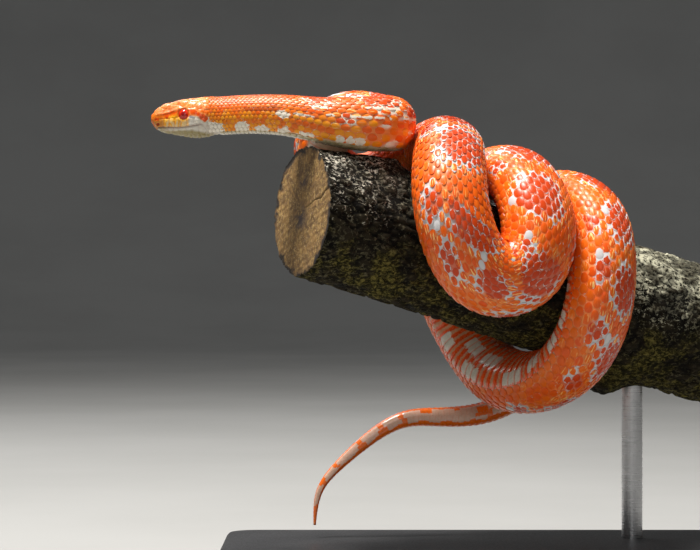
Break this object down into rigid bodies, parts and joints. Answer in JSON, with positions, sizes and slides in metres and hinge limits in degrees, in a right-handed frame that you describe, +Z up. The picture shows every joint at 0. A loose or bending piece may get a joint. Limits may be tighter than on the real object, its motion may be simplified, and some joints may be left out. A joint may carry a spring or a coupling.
{
  "type": "corn snake",
  "caption": "Life-size orange corn snake coiled round a cut length of branch, its head and neck reaching out past the saw cut and its tail hanging free, held above a flat base by a rod",
  "frame": {"origin": "centre of the stand's underside, which rests on the floor", "axes": "+Z up, +X along the base from the snake's head towards the branch's far end, +Y away from the viewer of the picture"},
  "size_m": [0.2816, 0.1736, 0.2234],
  "materials": {
    "skin": "glossy scales, orange with red blotches over white skin, belly cream",
    "eye": "wet, deep red",
    "bark": "rough dark bark with a sawn end",
    "base": "satin black paint",
    "rod": "brushed"
  },
  "bodies": {
    "root": {"head": "skin", "left_eye": "eye", "right_eye": "eye", "neck": "skin", "forebody_1": "skin", "forebody_2": "skin", "forebody_3": "skin", "midbody_1": "skin", "midbody_2": "skin", "midbody_3": "skin", "midbody_4": "skin", "midbody_5": "skin", "midbody_6": "skin", "midbody_7": "skin", "midbody_8": "skin", "midbody_9": "skin", "hindbody_1": "skin", "hindbody_2": "skin", "hindbody_3": "skin", "tail_1": "skin", "tail_2": "skin", "tail_3": "skin", "perch": "bark", "stand_base": "base", "stand_rod": "rod"}
  },
  "joints": []
}
